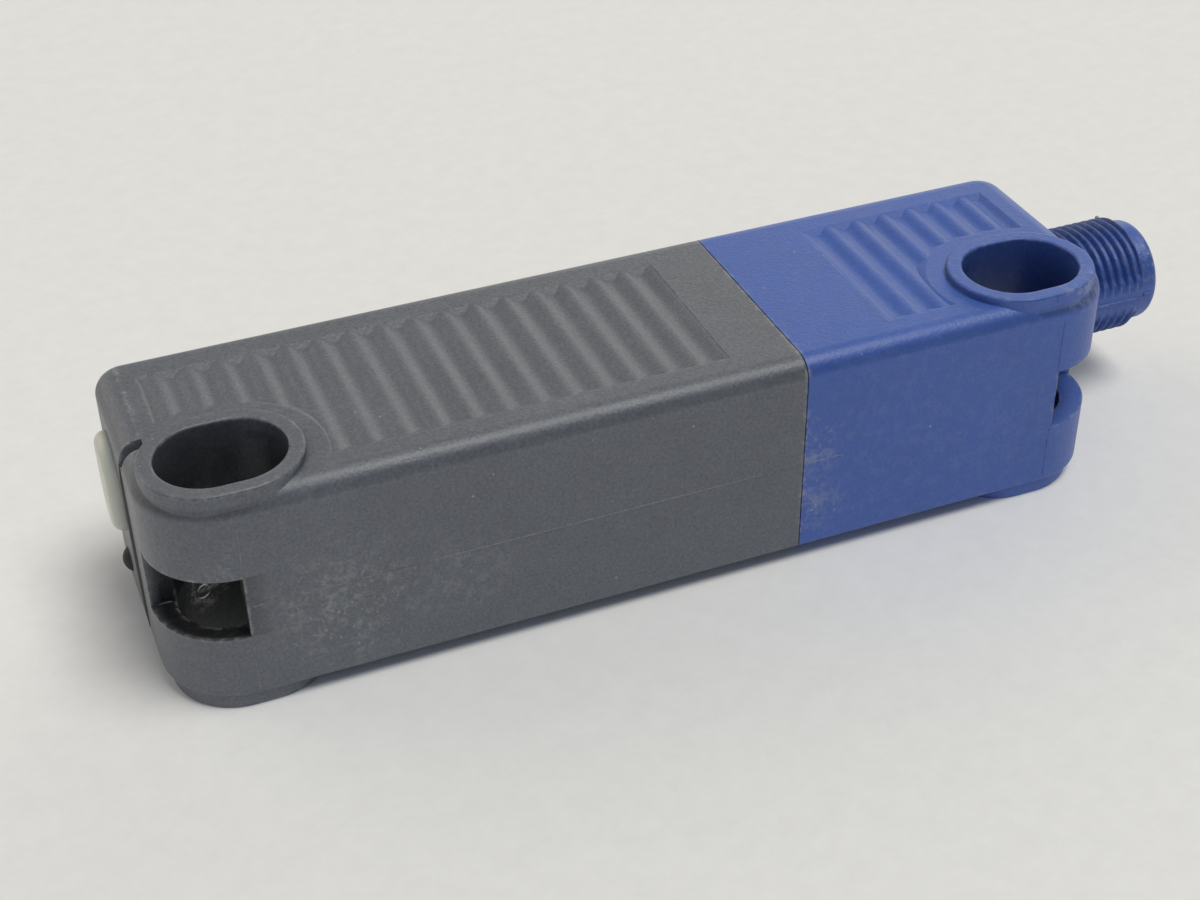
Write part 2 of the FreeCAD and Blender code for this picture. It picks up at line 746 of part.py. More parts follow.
def header_pins():
    first = channel_y0 + slide_gap + cap_tongue_wall + header_edge_gap
    return [first + i * header_pin_spacing for i in range(3)]


def header_pin_z():
    return board_z0 - header_height / 2


def board_header():
    """Angled header under the neck of the main board that carries the lamp board."""
    ys = header_pins()
    body = block(led_board_x1, led_board_x1 + header_length, ys[0] - header_pin_spacing / 2,
                 ys[-1] + header_pin_spacing / 2, board_z0 - header_height, board_z0)
    for y in ys:
        start = (led_board_x0 - header_pin_lead, y, header_pin_z())
        reach = header_pin_lead + led_board_thickness + header_length / 2
        body = body.fuse(rod((1, 0, 0), header_pin_radius, start, reach))
    return body.removeSplitter()


def leads(xc, yc, sx, sy, count, sides):
    """Rows of flat leads beside a package."""
    half = lead_width / 2
    solids = []
    for side in sides:
        along_x = side in ("front", "back")
        span = sx if along_x else sy
        reach = sy / 2 if along_x else sx / 2
        inner = -reach - lead_length if side in ("front", "left") else reach
        outer = inner + lead_length
        for i in range(count):
            t = (i + 0.5) * span / count - span / 2
            if along_x:
                box = (xc + t - half, xc + t + half, yc + inner, yc + outer)
            else:
                box = (xc + inner, xc + outer, yc + t - half, yc + t + half)
            solids.append(block(*box, board_z1, board_z1 + lead_height))
    return solids


def leaded_chip(xc, yc, sx, sy, height, count, sides):
    """Moulded package on the board with rows of leads."""
    top = board_z1 + height
    body = block(xc - sx / 2, xc + sx / 2, yc - sy / 2, yc + sy / 2, board_z1 + package_lift, top)
    body = body.makeChamfer(package_chamfer, level_edges(body, top))
    return [body] + leads(xc, yc, sx, sy, count, sides)


def controller_chip():
    return leaded_chip(wide_x0 + controller_place, board_yc - package_front_shift, controller_size,
                       controller_size, controller_height, 8, ("front", "back", "left", "right"))


def transceiver_chip():
    return leaded_chip(wide_x0 + transceiver_place, board_yc - package_front_shift, transceiver_length,
                       transceiver_width, transceiver_height, 7, ("front", "back"))


def driver_chips():
    row_back = board_y0 + small_part_front_gap + small_part_width
    first = row_back + driver_row_gap + lead_length + driver_width / 2
    solids = []
    for i in range(2):
        solids += leaded_chip(seam_x - driver_setback, first + i * driver_spread, driver_length,
                              driver_width, driver_height, 4, ("front", "back"))
    return solids


def clock_crystal():
    """Metal can with rounded ends."""
    top = board_z1 + crystal_height
    can = obround(wide_x0 + crystal_place, board_y0 + crystal_front_gap, crystal_width / 2,
                  (crystal_length - crystal_width) / 2, board_z1, top)
    return can.makeChamfer(can_edge, level_edges(can, top))


def reservoir_capacitors():
    """Two upright cans on square bases."""
    half = capacitor_base / 2
    x = seam_x + capacitor_setback
    z = board_z1 + capacitor_base_height
    top = board_z1 + capacitor_height
    solids = []
    for side in (-1, 1):
        y = board_yc + side * capacitor_spread / 2
        base = block(x - half, x + half, y - half, y + half, board_z1, z)
        can = rod((0, 0, 1), capacitor_radius, (x, y, z), top - z)
        solids.append(base.fuse(can.makeChamfer(can_edge, level_edges(can, top))).removeSplitter())
    return solids


def power_choke():
    """Shielded square coil with a dished top."""
    x = wide_x0 + choke_place
    half = choke_size / 2
    top = board_z1 + choke_height
    body = block(x - half, x + half, board_yc - half, board_yc + half, board_z1, top)
    upright = [e for e in body.Edges if abs(e.Vertexes[0].Z - e.Vertexes[1].Z) > half]
    cup = rod((0, 0, 1), choke_cup_radius, (x, board_yc, top - choke_cup_depth), 2 * choke_cup_depth)
    return body.makeFillet(choke_corner, upright).cut(cup)


def chip_components():
    """Small two-terminal parts in a row along the front edge of the board."""
    y0 = board_y0 + small_part_front_gap
    solids = []
    for i in range(9):
        x0 = wide_x0 + small_part_place + small_part_pitch * i - small_part_length / 2
        solids.append(block(x0, x0 + small_part_length, y0, y0 + small_part_width,
                            board_z1, board_z1 + small_part_height))
    return solids


def filling_compound(inside):
    """Set resin in the bottom of the sensor housing, round what stands in it."""
    level = cavity_z0 + fill_height
    bounds = block(led_board_x1, tongue_x - fill_right_gap, front_y, back_y, foot_z, level)
    pool = sensor_cavity().common(bounds)
    for solid in inside:
        pool = pool.cut(solid)
    return pool.removeSplitter()


def export(name, shapes):
    shape = shapes
    if isinstance(shapes, list):
        shape = Part.makeCompound(shapes)
    shape.exportStep("parts/" + name + ".step")


body = envelope()
bobbin = antenna_bobbin()
winding = antenna_winding()
core = antenna_core()

export("sensor_housing", sensor_housing(body))
export("connector_housing", connector_housing(body))
export("end_cap", end_cap(body))
export("indicator_lens", indicator_lens())
export("lens_seal", lens_seal())
export("filler_plug", filler_plug())
export("joint_seal", joint_seal())
export("antenna_bobbin", bobbin)
export("antenna_winding", winding)
export("antenna_core", core)
export("antenna_terminals", antenna_terminals())
export("main_board", main_board())
export("controller_chip", controller_chip())
export("transceiver_chip", transceiver_chip())
export("driver_chips", driver_chips())
export("clock_crystal", clock_crystal())
export("reservoir_capacitors", reservoir_capacitors())
export("power_choke", power_choke())
export("chip_components", chip_components())
export("led_board", led_board())
export("status_leds", status_leds())
export("board_header", board_header())
export("filling_compound", filling_compound([bobbin, winding, core]))
export("contact_carrier", contact_carrier())
export("carrier_ring", carrier_ring())
export("contact_board", contact_board())
export("ribbon_link", ribbon_link())
for number, place in enumerate(pin_places(), 1):
    export("contact_pin_" + str(number), contact_pin(place))
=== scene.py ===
"""Looks of a non-contact safety switch: moulded housings, window, plug spigot and the parts inside."""

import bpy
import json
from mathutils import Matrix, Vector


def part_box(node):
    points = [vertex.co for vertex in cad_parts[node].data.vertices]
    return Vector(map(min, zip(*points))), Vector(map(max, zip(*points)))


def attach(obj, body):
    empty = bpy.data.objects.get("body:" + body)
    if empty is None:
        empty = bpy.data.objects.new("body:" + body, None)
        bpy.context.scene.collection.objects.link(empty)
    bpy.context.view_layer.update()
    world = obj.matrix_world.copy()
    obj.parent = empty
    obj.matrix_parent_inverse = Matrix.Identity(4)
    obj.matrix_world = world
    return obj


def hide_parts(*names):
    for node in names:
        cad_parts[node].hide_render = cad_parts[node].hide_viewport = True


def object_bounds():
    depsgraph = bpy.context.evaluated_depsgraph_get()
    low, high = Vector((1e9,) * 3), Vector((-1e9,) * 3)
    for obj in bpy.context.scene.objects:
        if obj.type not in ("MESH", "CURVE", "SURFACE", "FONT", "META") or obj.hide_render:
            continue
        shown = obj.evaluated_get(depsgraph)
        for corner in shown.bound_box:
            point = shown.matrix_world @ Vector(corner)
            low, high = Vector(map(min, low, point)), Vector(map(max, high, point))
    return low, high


bl_info = {
    "name": "Non-contact safety switch",
    "version": (1, 0, 0),
    "blender": (4, 5, 0),
    "location": "View3D > Sidebar > Safety switch",
    "description": "Dresses the packed safety switch: moulded housings, thread, mould marks, finishes",
    "category": "Object",
}

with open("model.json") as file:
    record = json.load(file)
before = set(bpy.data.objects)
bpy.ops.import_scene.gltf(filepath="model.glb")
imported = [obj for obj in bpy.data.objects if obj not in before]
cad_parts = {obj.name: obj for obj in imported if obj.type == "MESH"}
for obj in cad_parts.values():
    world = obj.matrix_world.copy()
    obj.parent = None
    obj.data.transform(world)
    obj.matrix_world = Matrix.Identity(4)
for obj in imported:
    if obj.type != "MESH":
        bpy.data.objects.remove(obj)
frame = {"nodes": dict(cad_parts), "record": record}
cad_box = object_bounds()

import json
import math

import bmesh
import bpy
from bpy.props import FloatProperty, FloatVectorProperty, IntProperty, PointerProperty
from mathutils import Matrix, Vector

MM = 0.001
ROOT = "root"
FRONT, LEFT, UP = (0, -1, 0), (-1, 0, 0), (0, 0, 1)

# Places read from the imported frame, in metres
dark_low, dark_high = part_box("sensor_housing")
cap_low, cap_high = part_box("end_cap")
mounts = {m["name"]: m for m in frame["record"]["mounts"]}
plug_mount = mounts["plug_spigot"]
slot_dims = mounts["mounting_slots"]["dims"]

front_y = dark_low.y
collar_z = dark_high.z
top_z = cap_high.z
spigot_middle, axis_y, axis_z = plug_mount["pos_m"]
spigot_radius = plug_mount["dims"]["r_mm"] * MM
spigot_half_length = plug_mount["dims"]["length_mm"] * MM / 2
slot_radius = slot_dims["hole_r_mm"] * MM
slot_end_x = slot_dims["spacing_x_mm"] * MM / 2 + slot_dims["slot_length_mm"] * MM / 2 - slot_radius

# Sizes of the solids that the frame has no name for
field_depth = 0.4 * MM
sensor_field_end = -42.75 * MM
connector_field_end = 43.3 * MM
collar_radius = 6.25 * MM
nose_radius = 5.3 * MM
nose_round = 0.8 * MM

# The thread runs on a little past the plain cylinder of the mount
thread_run_on = 0.55 * MM
thread_start = spigot_middle - spigot_half_length
thread_end = spigot_middle + spigot_half_length + thread_run_on


def linear(hex_colour):
    """Linear colour of an sRGB hex value."""
    parts = [int(hex_colour[i:i + 2], 16) / 255 for i in (1, 3, 5)]
    return tuple(c / 12.92 if c <= 0.04045 else ((c + 0.055) / 1.055) ** 2.4 for c in parts)


def mm(*values):
    """Place in metres of a place in millimetres."""
    return tuple(v * MM for v in values)


def per_mm(millimetres):
    """Scale of a pattern whose features are this far apart."""
    return 1 / (millimetres * MM)


def on_front(x, z):
    """Place on the front wall, from millimetres along and up."""
    return (x * MM, front_y, z * MM)


def length(name, description, millimetres):
    """Property of a length."""
    return FloatProperty(name=name, description=description, default=millimetres * MM, unit="LENGTH",
                         precision=5)


def colour(name, description, hex_colour):
    """Property of a colour."""
    return FloatVectorProperty(name=name, description=description, default=linear(hex_colour),
                               subtype="COLOR", min=0, max=1)


def angle(name, description, degrees):
    """Property of an angle."""
    return FloatProperty(name=name, description=description, default=math.radians(degrees),
                         subtype="ANGLE")


class SwitchSizes(bpy.types.PropertyGroup):
    """Sizes of what the thread and the mould leave on the outside, and of the dark bead that paints the
    shadow in the cap's joint.
    """
    thread_pitch: length("Thread pitch", "Distance between two crests of the plug thread", 1.0)
    thread_depth: length("Thread depth", "Height of a crest above its root", 0.6)
    thread_flat: length("Thread flat", "Half width of the spigot across its parting flats", 5.65)
    edge_round: length("Edge round", "Width of the softened outer edges", 0.16)
    # The pale strip along outer edges is partly rubbed wear and partly a painted highlight
    edge_wear_and_highlight_width: length("Edge wear", "Width of the rubbed strip along outer edges", 0.4)
    bead_width: length("Bead width", "Width of the beads that the mould's parting leaves", 0.13)
    bead_height: length("Bead height", "Height of those beads", 0.035)
    flash_width: length("Flash width", "Width of the flash along the spigot's parting", 0.3)
    flash_height: length("Flash height", "Height of that flash", 0.18)
    nib_width: length("Nib width", "Width of the nib at the end of the thread", 0.4)
    nib_height: length("Nib height", "Height of that nib", 0.25)
    # A dark bead in the cap's joint, in the resin's finish, paints the shadow of the joint's gap
    joint_shadow_width: length("Resin width", "Width of the filling resin in the end cap's joint", 0.35)
    joint_shadow_height: length("Resin height", "Height of the bead that the resin forms there", 0.3)
    field_lean: length("Field lean", "How far the end walls of the grip fields slope out", 0.5)
    gate_radius: length("Gate radius", "Radius of the ring that the moulding gate leaves", 0.7)


class SwitchColours(bpy.types.PropertyGroup):
    """Colours of the outer materials and of the floor."""
    charcoal: colour("Charcoal", "Dark housing and end cap", "#64676c")
    blue: colour("Blue", "Housing with the plug spigot", "#4160a9")
    window: colour("Window", "Milky lamp window", "#c8c9b8")
    # The dust colour also tints the painted highlight on sharp edges and the painted glow round the gate
    dust: colour("Dust", "Settled dust and rubbed spots", "#b4b5ad")
    floor: colour("Floor", "Pale floor", "#edece7")


class StageSettings(bpy.types.PropertyGroup):
    """Camera and light of the picture."""
    camera_place: FloatVectorProperty(name="Camera place", description="Where the camera stands",
                                      subtype="XYZ", unit="LENGTH", default=mm(-58.226, -134.999, 118.886))
    camera_azimuth: angle("Azimuth", "Turn of the camera about the vertical", -21.63)
    camera_elevation: angle("Elevation", "How far the camera looks down", 35.907)
    camera_roll: angle("Roll", "Turn of the camera about its own axis", -0.83)
    camera_lens: FloatProperty(name="Lens", description="Focal length", default=58.376, unit="CAMERA")
    front_light: colour("Front light", "Dim cool light from the viewer's side", "#4f5a66")
    back_light: colour("Back light", "Neutral light from behind", "#8b8a87")
    overhead_strength: FloatProperty(name="Overhead strength",
                                     description="Strength of the soft overhead light", default=1.76)
    overhead_tint: colour("Overhead tint", "Colour of the overhead light", "#fffefb")
    overhead_spread: angle("Overhead spread", "Angle that the overhead light fills in the sky", 29.0)
    overhead_way: FloatVectorProperty(name="Overhead way", description="Way to the overhead light",
                                      subtype="DIRECTION", default=(0.24, -0.21, 0.945))
    floor_size: length("Floor size", "Side of the square floor", 12000.0)


# Bright surfaces of the room: direction, half angles in degrees where full and where faded out, hex
# colour and strength
room_lights = [
    ((0.63, 0.75, 0.14), 12, 35, "#fffcf6", 1.15),
    ((-0.68, 0.62, 0.39), 12, 40, "#fff3e2", 0.90),
    ((-0.50, -0.78, 0.42), 15, 50, "#cfd5fa", 0.43),
]


def sizes():
    """Sizes set in the scene."""
    return bpy.context.scene.switch_sizes


def colours():
    """Colours set in the scene."""
    return bpy.context.scene.switch_colours


def add_node(tree, kind, inputs=None, **settings):
    """Adds a node with its settings, and sets or links its inputs."""
    node = tree.nodes.new(kind)
    for name, value in settings.items():
        setattr(node, name, value)
    for key, value in (inputs or {}).items():
        socket = node.inputs[key]
        if isinstance(value, bpy.types.NodeSocket):
            tree.links.new(value, socket)
        elif socket.type == "RGBA" and len(value) == 3:
            socket.default_value = (*value, 1.0)
        else:
            socket.default_value = value
    return node


def new_material(name):
    """Empty node material, and the object coordinates that its patterns use."""
    made = bpy.data.materials.new(name)
    made.use_nodes = True
    tree = made.node_tree
    tree.nodes.clear()
    place = add_node(tree, "ShaderNodeTexCoord").outputs["Object"]
    return made, tree, place


def close_material(made, tree, shader):
    """Links the shader to the material's output."""
    add_node(tree, "ShaderNodeOutputMaterial", {"Surface": shader.outputs[0]})
    return made


# Rays that the nodes for painted shade in hollows, for pale worn and highlit edges and for softened edges
# cast
ray_samples = 4

# Most values of a noise texture lie in this range
noise_range = {"From Min": 0.3, "From Max": 0.7}


def painted_shade_in_hollows(tree, shaded_hollow_level):
    """Factor of painted shade that darkens deep hollows, down to the given level in the deepest."""
    hollow_reach = 12.0 * MM
    hollow = add_node(tree, "ShaderNodeAmbientOcclusion", {"Distance": hollow_reach}, samples=ray_samples,
                      only_local=True)
    factor = add_node(tree, "ShaderNodeMapRange", {
        "Value": hollow.outputs["AO"], "From Min": 0.25, "From Max": 0.75, "To Min": shaded_hollow_level},
        interpolation_type="SMOOTHSTEP")
    return factor.outputs[0]


def painted_shade_on_rounded_edges(tree):
    """Factor of painted shade that darkens rounded edges where they face between up and sideways."""
    darkening = 0.24
    facing = add_node(tree, "ShaderNodeNewGeometry").outputs["Normal"]
    upward = add_node(tree, "ShaderNodeSeparateXYZ", {"Vector": facing}).outputs["Z"]
    off_top = add_node(tree, "ShaderNodeMapRange", {"Value": upward, "From Min": 0.80, "From Max": 0.55},
                       interpolation_type="SMOOTHSTEP")
    off_side = add_node(tree, "ShaderNodeMapRange", {
        "Value": upward, "From Min": 0.10, "From Max": 0.30, "To Max": -darkening},
        interpolation_type="SMOOTHSTEP")
    factor = add_node(tree, "ShaderNodeMath", {0: off_top.outputs[0], 1: off_side.outputs[0], 2: 1.0},
                      operation="MULTIPLY_ADD")
    return factor.outputs[0]


def from_slot_end(tree, place, end_x):
    """Level distance from the upright axis of a slot's round end."""
    flat = add_node(tree, "ShaderNodeVectorMath", {0: place, 1: (1, 1, 0)}, operation="MULTIPLY")
    apart = add_node(tree, "ShaderNodeVectorMath", {0: flat.outputs[0], 1: (end_x, 0, 0)},
                     operation="DISTANCE")
    return apart.outputs["Value"]


def shaded_collar_roots(tree, place):
    """Factor of painted shade that darkens the corner under the slots' collars."""
    darkening = 0.26
    half_width = 0.4 * MM
    band_low, full_low, full_high, band_high = mm(20.9, 21.3, 21.7, 22.2)
    mirrored = add_node(tree, "ShaderNodeVectorMath", {0: place}, operation="ABSOLUTE")
    apart = from_slot_end(tree, mirrored.outputs[0], slot_end_x)
    ring = add_node(tree, "ShaderNodeMath", {0: apart, 1: collar_radius, 2: half_width},
                    operation="COMPARE")
    height = add_node(tree, "ShaderNodeSeparateXYZ", {"Vector": place}).outputs["Z"]
    below = add_node(tree, "ShaderNodeMapRange", {
        "Value": height, "From Min": band_high, "From Max": full_high}, interpolation_type="SMOOTHSTEP")
    above = add_node(tree, "ShaderNodeMapRange", {
        "Value": height, "From Min": band_low, "From Max": full_low, "To Max": -darkening},
        interpolation_type="SMOOTHSTEP")
    band = add_node(tree, "ShaderNodeMath", {0: below.outputs[0], 1: above.outputs[0]},
                    operation="MULTIPLY")
    factor = add_node(tree, "ShaderNodeMath", {0: band.outputs[0], 1: ring.outputs[0], 2: 1.0},
                      operation="MULTIPLY_ADD")
    return factor.outputs[0]


def painted_shade_in_notch(tree, place, notch_shade):
    """Factor of painted shade that darkens the inside of the notch round the left slot, less towards its
    outer edge.
    """
    full_reach, faded_reach = mm(5.8, 6.9)
    half_height = 3.25 * MM
    within = add_node(tree, "ShaderNodeMapRange", {
        "Value": from_slot_end(tree, place, -slot_end_x), "From Min": faded_reach, "From Max": full_reach,
        "To Max": -notch_shade})
    height = add_node(tree, "ShaderNodeSeparateXYZ", {"Vector": place}).outputs["Z"]
    between = add_node(tree, "ShaderNodeMath", {0: height, 1: axis_z, 2: half_height}, operation="COMPARE")
    factor = add_node(tree, "ShaderNodeMath", {0: within.outputs[0], 1: between.outputs[0], 2: 1.0},
                      operation="MULTIPLY_ADD")
    return factor.outputs[0]


def dust_and_highlight_cover(tree, place, edge_wear_and_highlight, patches):
    """How far dust, wear and painted light cover the skin: a film, specks, pale edges that are partly
    rubbed and partly a painted highlight, torn edges, and patches with crumbs, some of them a painted glow
    and a painted sheen.
    """
    film = add_node(tree, "ShaderNodeTexNoise", {
        "Vector": place, "Scale": per_mm(1.0), "Detail": 6.0, "Roughness": 0.75})
    thin = add_node(tree, "ShaderNodeMapRange", {
        "Value": film.outputs["Fac"], "From Min": 0.5, "From Max": 0.8, "To Max": 0.08})
    torn = add_node(tree, "ShaderNodeMapRange", {
        "Value": film.outputs["Fac"], "From Min": 0.47, "From Max": 0.62, "To Min": 0.05, "To Max": 1.2})

    speck_cover = 0.42
    # Radius of the largest specks, as a share of the distance between specks
    largest_speck = 0.085
    cells = add_node(tree, "ShaderNodeTexVoronoi", {"Vector": place, "Scale": per_mm(1.9)})
    pick = add_node(tree, "ShaderNodeSeparateColor", {"Color": cells.outputs["Color"]})
    radius = add_node(tree, "ShaderNodeMapRange", {
        "Value": pick.outputs["Red"], "From Min": 0.70, "To Max": largest_speck})
    speck = add_node(tree, "ShaderNodeMath", {0: cells.outputs["Distance"], 1: radius.outputs[0]},
                     operation="LESS_THAN")

    # Pale sharp edges: partly rubbed wear, partly a painted highlight along the rims
    edge = add_node(tree, "ShaderNodeAmbientOcclusion", {"Distance": sizes().edge_wear_and_highlight_width},
                    samples=ray_samples, inside=True, only_local=True)
    rubbed = add_node(tree, "ShaderNodeMapRange", {
        "Value": edge.outputs["AO"], "From Min": 0.93, "From Max": 0.6, "To Max": edge_wear_and_highlight})

    crumbs = add_node(tree, "ShaderNodeTexVoronoi", {"Vector": place, "Scale": per_mm(0.8)})
    crumb = add_node(tree, "ShaderNodeMapRange", {
        "Value": crumbs.outputs["Distance"], "From Min": 0.17, "From Max": 0.08, "To Max": 2.2})
    strewn = add_node(tree, "ShaderNodeMath", {0: torn.outputs[0], 1: crumb.outputs[0]}, operation="ADD")

    layers = [(speck.outputs[0], speck_cover), (rubbed.outputs[0], torn.outputs[0])]
    # Share of a patch's radius within which it covers in full
    full_share = 0.15
    for centre, reach, strength in patches:
        apart = add_node(tree, "ShaderNodeVectorMath", {0: place, 1: centre}, operation="DISTANCE")
        near = add_node(tree, "ShaderNodeMapRange", {
            "Value": apart.outputs["Value"], "From Min": reach, "From Max": full_share * reach,
            "To Max": strength}, interpolation_type="SMOOTHSTEP")
        layers.append((near.outputs[0], strewn.outputs[0]))
    cover = thin.outputs[0]
    for amount, share in layers:
        cover = add_node(tree, "ShaderNodeMath", {0: amount, 1: share, 2: cover}, operation="MULTIPLY_ADD",
                         use_clamp=True).outputs[0]
    return cover


# Glass-filled PBT from a spark-eroded mould gives a satin skin with a fine grain and a broad soft
# highlight that breaks up into small glints. Painted shade darkens the rounded edges, the hollows, the
# notch and the corners under the collars, sharp edges are pale from wear and a painted highlight, and dust
# lies as a thin film, as crumbs and as specks
def moulded_pbt(name, base, fleck, edge_wear_and_highlight=0.0, shaded_hollow_level=1.0, patches=(), notch_shade=0.0):
    """Moulded housing plastic; fleck is how far the grain varies in tone; the pale edge amount is how far
    sharp edges turn pale from wear and painted highlight; the hollow level is how light deep hollows stay
    under painted shade; patches are (centre, radius, cover) of dust, painted glow and painted sheen; and
    the notch amount is how far painted shade darkens the notch at the left slot."""
    made, tree, place = new_material(name)
    # The real grain of about 0.05 mm is drawn at 0.28 mm so that it shows
    grain = add_node(tree, "ShaderNodeTexNoise", {"Vector": place, "Scale": per_mm(0.28), "Detail": 3.0})
    cloud = add_node(tree, "ShaderNodeTexNoise", {"Vector": place, "Scale": per_mm(7.0), "Detail": 4.0})
    shade = add_node(tree, "ShaderNodeMapRange", {
        "Value": cloud.outputs["Fac"], **noise_range, "To Min": 0.95, "To Max": 1.05})
    speckle = add_node(tree, "ShaderNodeMapRange", {
        "Value": grain.outputs["Fac"], **noise_range, "To Min": 1 - fleck, "To Max": 1 + fleck})
    factors = [speckle.outputs[0], painted_shade_in_hollows(tree, shaded_hollow_level), painted_shade_on_rounded_edges(tree),
               shaded_collar_roots(tree, place)]
    if notch_shade:
        factors.append(painted_shade_in_notch(tree, place, notch_shade))
    level = shade.outputs[0]
    for factor in factors:
        level = add_node(tree, "ShaderNodeMath", {0: level, 1: factor}, operation="MULTIPLY").outputs[0]
    skin = add_node(tree, "ShaderNodeVectorMath", {0: tuple(base), "Scale": level}, operation="SCALE")
    cover = dust_and_highlight_cover(tree, place, edge_wear_and_highlight, patches)
    tint = add_node(tree, "ShaderNodeMix", {0: cover, 6: skin.outputs[0], 7: tuple(colours().dust)},
                    data_type="RGBA")

    finish = add_node(tree, "ShaderNodeMapRange", {
        "Value": cloud.outputs["Fac"], **noise_range, "To Min": 0.37, "To Max": 0.44})
    rounded = add_node(tree, "ShaderNodeBevel", {"Radius": sizes().edge_round}, samples=ray_samples)
    grain_depth = 0.04 * MM
    bump = add_node(tree, "ShaderNodeBump", {
        "Height": grain.outputs["Fac"], "Strength": 1.0, "Distance": grain_depth,
        "Normal": rounded.outputs[0]})
    shader = add_node(tree, "ShaderNodeBsdfPrincipled", {
        "Base Color": tint.outputs[2], "Roughness": finish.outputs[0], "IOR": 1.5,
        "Normal": bump.outputs[0]})
    return close_material(made, tree, shader)


# Milky polycarbonate from a polished mould is pale and even, under a smooth skin with a soft gloss
def diffusing_polycarbonate():
    """Window of the status lamps."""
    made, tree, place = new_material("diffusing_polycarbonate")
    cloud = add_node(tree, "ShaderNodeTexNoise", {"Vector": place, "Scale": per_mm(3.0), "Detail": 3.0})
    level = add_node(tree, "ShaderNodeMapRange", {
        "Value": cloud.outputs["Fac"], "To Min": 0.97, "To Max": 1.03})
    body = add_node(tree, "ShaderNodeVectorMath", {0: tuple(colours().window), "Scale": level.outputs[0]},
                    operation="SCALE")
    finish = add_node(tree, "ShaderNodeMapRange", {
        "Value": cloud.outputs["Fac"], "To Min": 0.30, "To Max": 0.35})
    shader = add_node(tree, "ShaderNodeBsdfPrincipled", {
        "Base Color": body.outputs[0], "Roughness": finish.outputs[0], "IOR": 1.58})
    return close_material(made, tree, shader)


# Finishes of the parts inside, each under a line on what its material gives the eye. A row holds the
# slot, the material, two hex colours, the pattern's size in mm, roughness, metallic, the bump in mm and
# the kind of pattern
inner_finishes = [
    # Moulded rubber is dull, dark and nearly even
    ("seal_rubber", "moulded_nitrile_rubber", "#1d1e20", "#2b2c2e", 0.4, 0.65, 0.0, 0.01, "noise"),
    # Moulded crystal polymer is ivory, with faint flow marks
    ("former_plastic", "moulded_crystal_polymer", "#c9c2ae", "#b9b19c", 1.2, 0.5, 0.0, 0.005, "noise"),
    # Enamelled wire lies in glossy copper bands
    ("copper_wire", "enamelled_copper_winding", "#8a4a1f", "#c77b3e", 0.25, 0.32, 1.0, 0.04, "bands"),
    # Sintered ferrite is dark, matt and slightly pitted
    ("ferrite", "sintered_ferrite", "#34353a", "#454549", 0.5, 0.6, 0.0, 0.02, "noise"),
    # Tinned brass is pale and bright, under a slightly wavy coat
    ("tinned_metal", "tinned_brass", "#b5b4ae", "#cfcec8", 0.6, 0.3, 1.0, 0.004, "noise"),
    # Glass cloth shows through the green epoxy as a weave
    ("laminate", "glass_epoxy_laminate", "#1c5a37", "#26704a", 1.0, 0.4, 0.0, 0.01, "weave"),
    # Moulded epoxy is black, with a fine matt grain
    ("package_black", "moulded_epoxy_package", "#232427", "#2f3033", 0.3, 0.55, 0.0, 0.008, "noise"),
    # Drawn steel is bright, with faint lines from the die
    ("steel_can", "drawn_steel_can", "#b9bab8", "#cbccca", 0.5, 0.28, 1.0, 0.004, "bands"),
    # Extruded aluminium is paler, with the same faint lines
    ("aluminium_can", "impact_extruded_aluminium", "#c8c9c8", "#dadbd9", 0.4, 0.3, 1.0, 0.004, "bands"),
    # Sintered ceramic is tan, fine and half matt
    ("chip_ceramic", "sintered_chip_ceramic", "#a58a63", "#b89c75", 0.3, 0.45, 0.0, 0.004, "noise"),
    # Cast lamp resin is pale, cloudy and smooth
    ("lamp_resin", "cast_lamp_resin", "#d8d7c6", "#c8c6ae", 0.6, 0.3, 0.0, 0.004, "noise"),
    # Cast polyurethane sets dark and glossy, with an uneven top
    ("filling_resin", "cast_polyurethane", "#37352f", "#45423b", 2.5, 0.25, 0.0, 0.03, "noise"),
    # Moulded polyamide is black, with a satin grain
    ("carrier_black", "moulded_polyamide", "#232528", "#2d3034", 0.3, 0.5, 0.0, 0.01, "noise"),
    # Polyimide film is amber, banded by the tracks inside it
    ("polyimide", "polyimide_film", "#9c5a12", "#b9741f", 0.5, 0.35, 0.0, 0.006, "bands"),
    # Gold plate is warm and bright
    ("gold_contact", "gold_plated_brass", "#c79a45", "#dcb25c", 0.4, 0.22, 1.0, 0.002, "noise"),
]


def inner_finish(name, first, second, spacing, roughness, metallic, relief, pattern):
    """Finish of a part inside: two close tones of the real material in its own small pattern."""
    made, tree, place = new_material(name)
    roughness_swing = 0.05
    # Real bands are too fine to show, so this draws them about twice as far apart as their spacing
    wave_coarsening = 6
    if pattern == "bands":
        source = add_node(tree, "ShaderNodeTexWave", {
            "Vector": place, "Scale": per_mm(spacing) / wave_coarsening, "Distortion": 0.6, "Detail": 1.0},
            bands_direction="Z")
    elif pattern == "weave":
        source = add_node(tree, "ShaderNodeTexChecker", {"Vector": place, "Scale": per_mm(spacing)})
    else:
        source = add_node(tree, "ShaderNodeTexNoise", {
            "Vector": place, "Scale": per_mm(spacing), "Detail": 3.0})
    value = source.outputs["Fac"]
    tone = add_node(tree, "ShaderNodeValToRGB", {"Fac": value})
    tone.color_ramp.elements[0].color = (*linear(first), 1.0)
    tone.color_ramp.elements[1].color = (*linear(second), 1.0)
    finish = add_node(tree, "ShaderNodeMapRange", {
        "Value": value, "To Min": roughness - roughness_swing, "To Max": roughness + roughness_swing})
    bump = add_node(tree, "ShaderNodeBump", {"Height": value, "Strength": 0.4, "Distance": relief * MM})
    shader = add_node(tree, "ShaderNodeBsdfPrincipled", {
        "Base Color": tone.outputs["Color"], "Roughness": finish.outputs[0], "Metallic": metallic,
        "Normal": bump.outputs[0]})
    return close_material(made, tree, shader)


